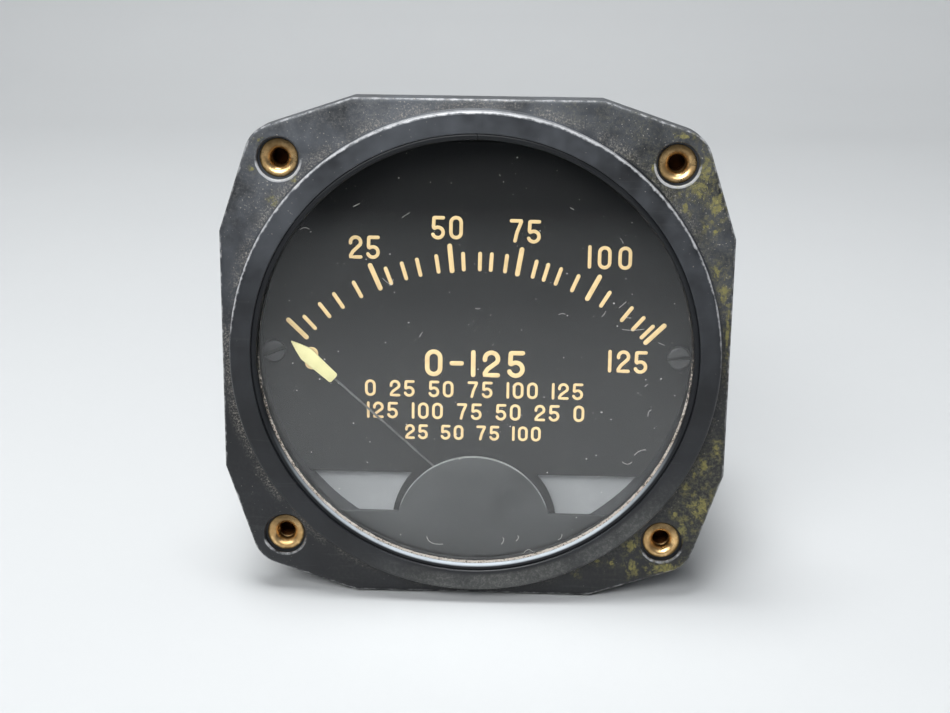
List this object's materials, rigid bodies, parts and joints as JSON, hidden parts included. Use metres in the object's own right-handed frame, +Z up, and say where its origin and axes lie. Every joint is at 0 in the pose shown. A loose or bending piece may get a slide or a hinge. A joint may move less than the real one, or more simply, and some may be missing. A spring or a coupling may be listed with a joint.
{
  "type": "aircraft fuel gauge",
  "caption": "Panel-mounted aircraft fuel gauge: black square-flanged case with a round bezel ring, glass, arc scale, a swinging pale pointer and a rear electrical connector.",
  "frame": {"origin": "on the dial axis, at the front face of the flange, which seats against the back of the panel", "axes": "the dial faces -Y, +X is to its right as it is read, +Z is up, and +Y runs back through the case"},
  "size_m": [0.0822, 0.0675, 0.0822],
  "materials": {
    "case_moulding": "black moulded phenolic, semi-matte, worn",
    "insert_brass": "dull brass",
    "blackened_wire": "blackened steel wire",
    "cover_glass": "clear, dusty",
    "gasket_rubber": "matte",
    "mask_paint": "matte black paint",
    "dial_paint": "matte black paint",
    "black_screws": "blackened steel",
    "grey_paint": "matte grey paint",
    "steel": "plain steel",
    "movement_brass": "plain brass",
    "pointer_paint": "pale luminous paint",
    "pointer_aluminium": "drawn wire",
    "enamelled_copper": "enamelled copper winding",
    "spring_bronze": "thin bronze strip",
    "soft_iron": "ground soft iron",
    "magnet_paint": "red paint",
    "board_laminate": "brown laminate",
    "spool_moulding": "pale moulding",
    "resistance_wire": "enamelled resistance wire",
    "tinned_brass": "tinned",
    "lead_cotton": "cotton-covered wire",
    "connector_aluminium": "dull plated aluminium",
    "insulator_moulding": "black moulding",
    "pin_brass": "bright brass"
  },
  "bodies": {
    "gauge": {"case": "case_moulding", "panel_inserts": "insert_brass", "snap_ring": "blackened_wire", "cover_glass": "cover_glass", "glass_gasket": "gasket_rubber", "pivot_mask": "mask_paint", "mask_posts": "steel", "dial_plate": "dial_paint", "dial_spacers": "steel", "dial_screws": "black_screws", "movement_plate": "grey_paint", "movement_screws": "steel", "front_bridge": "movement_brass", "front_bridge_posts": "steel", "front_bridge_screws": "steel", "front_jewel_screw": "movement_brass", "pointer_stops": "steel", "ligament_springs": "spring_bronze", "pole_shoes": "soft_iron", "pole_screws": "steel", "iron_core": "soft_iron", "core_bracket": "movement_brass", "horseshoe_magnet": "magnet_paint", "magnet_post": "steel", "magnet_clamp": "movement_brass", "magnet_screw": "steel", "rear_bridge": "movement_brass", "rear_bridge_posts": "steel", "rear_bridge_screws": "steel", "rear_jewel_screw": "movement_brass", "board_posts": "steel", "terminal_board": "board_laminate", "board_screws": "steel", "resistor_spools": "spool_moulding", "resistor_windings": "resistance_wire", "spool_screws": "steel", "terminal_lugs": "tinned_brass", "leads": "lead_cotton", "connector_gasket": "gasket_rubber", "connector_shell": "connector_aluminium", "connector_insulator": "insulator_moulding", "connector_pins": "pin_brass", "connector_screws": "steel"},
    "pointer": {"pointer_head": "pointer_paint", "pointer_wire": "pointer_aluminium", "pointer_hub": "movement_brass", "balance_arms": "pointer_aluminium", "balance_weights": "movement_brass", "front_staff": "steel", "rear_staff": "steel", "outer_coil": "enamelled_copper", "inner_coil": "enamelled_copper"}
  },
  "joints": [
    {"name": "pointer_swing", "type": "hinge", "parent": "gauge", "child": "pointer", "pos_m": [0, 0.005, -0.0265], "axis": [0, 1, 0], "range_deg": [0, 96]}
  ]
}
